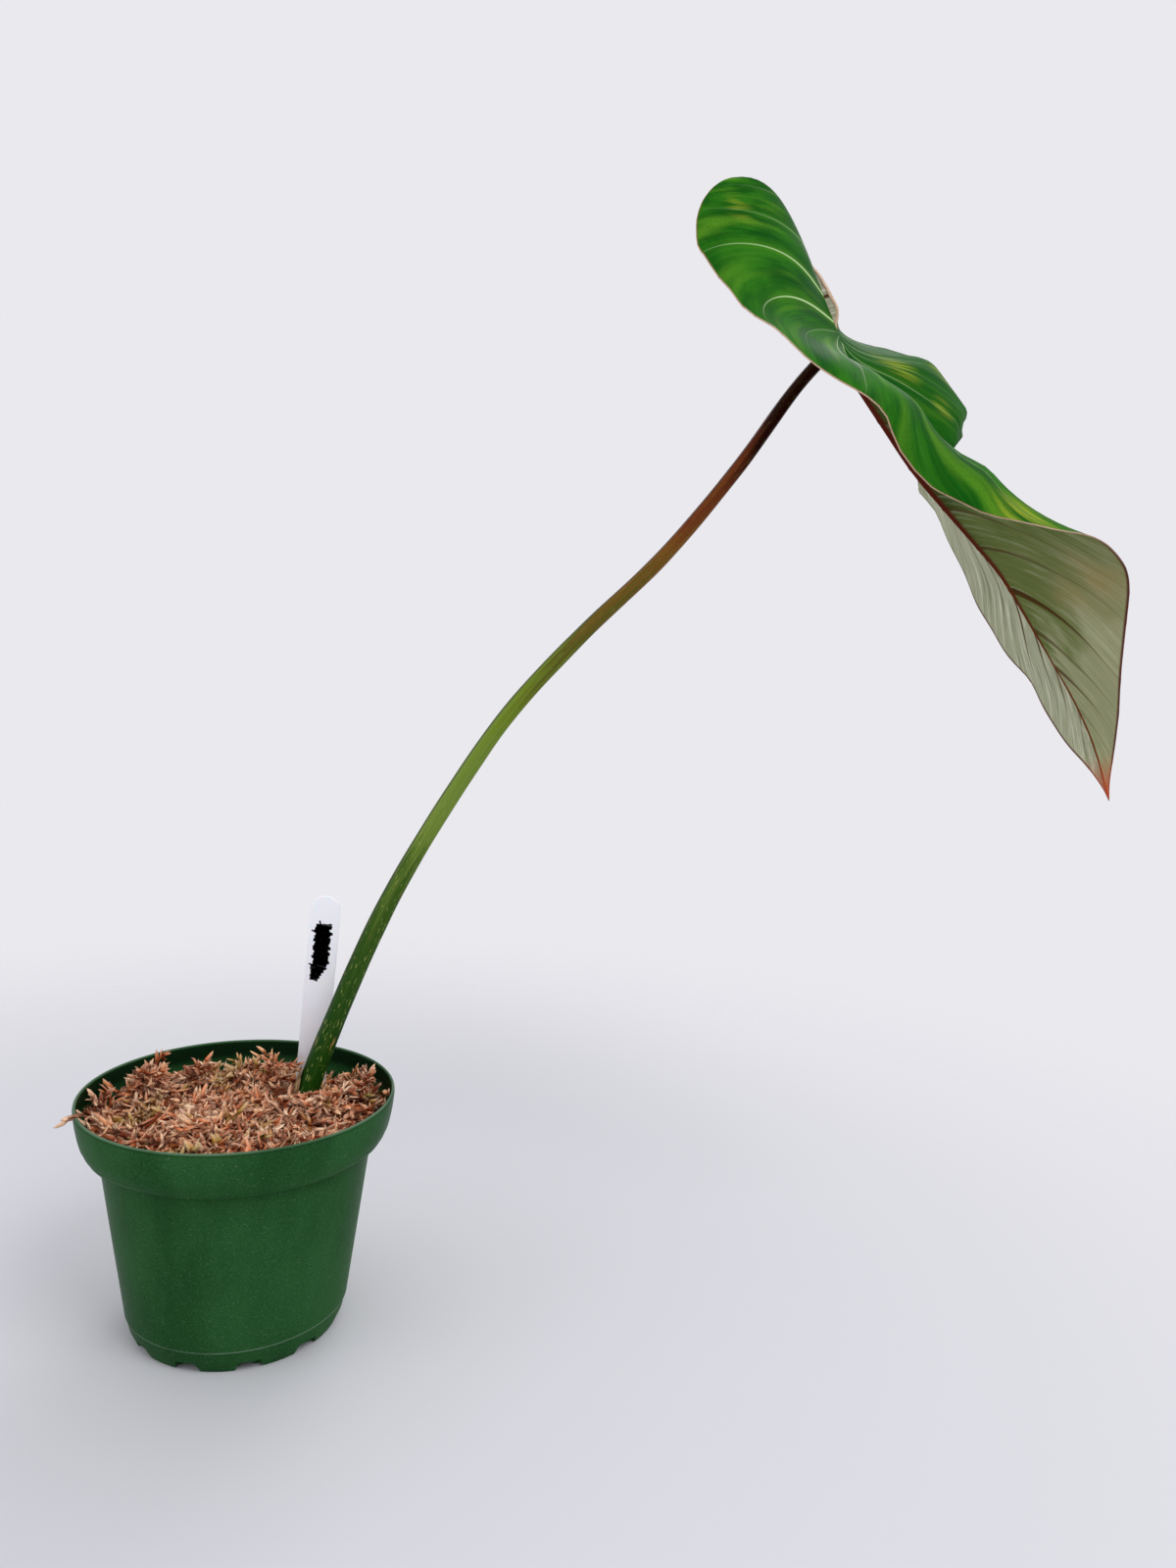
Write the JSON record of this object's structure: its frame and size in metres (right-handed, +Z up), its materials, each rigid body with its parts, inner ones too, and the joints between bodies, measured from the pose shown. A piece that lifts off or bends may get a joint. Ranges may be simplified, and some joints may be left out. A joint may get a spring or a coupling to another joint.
{
  "type": "potted philodendron gloriosum",
  "caption": "Creeping aroid in a green nursery pot of moss: a large heart-shaped leaf, folded and hanging, on a long leaning stalk, with a white plant label.",
  "frame": {"origin": "on the pot's axis, at the bottom of its feet, where the pot stands", "axes": "+Z up along the pot's axis; +X the way the stalk leans and the leaf hangs out; -Y the side from which the plant label is seen to the left of the stalk and behind it"},
  "size_m": [0.5253, 0.2525, 0.5725],
  "materials": {
    "pot": "satin",
    "moss": "matte",
    "rhizome": "matte",
    "petiole": "satin",
    "sheath": "matte",
    "leaf": "satin",
    "label": "satin"
  },
  "bodies": {
    "root": {"pot": "pot", "moss_bed": "moss", "rhizome": "rhizome", "petiole": "petiole", "dry_sheath": "sheath", "leaf_blade": "leaf", "plant_label": "label"}
  },
  "joints": []
}
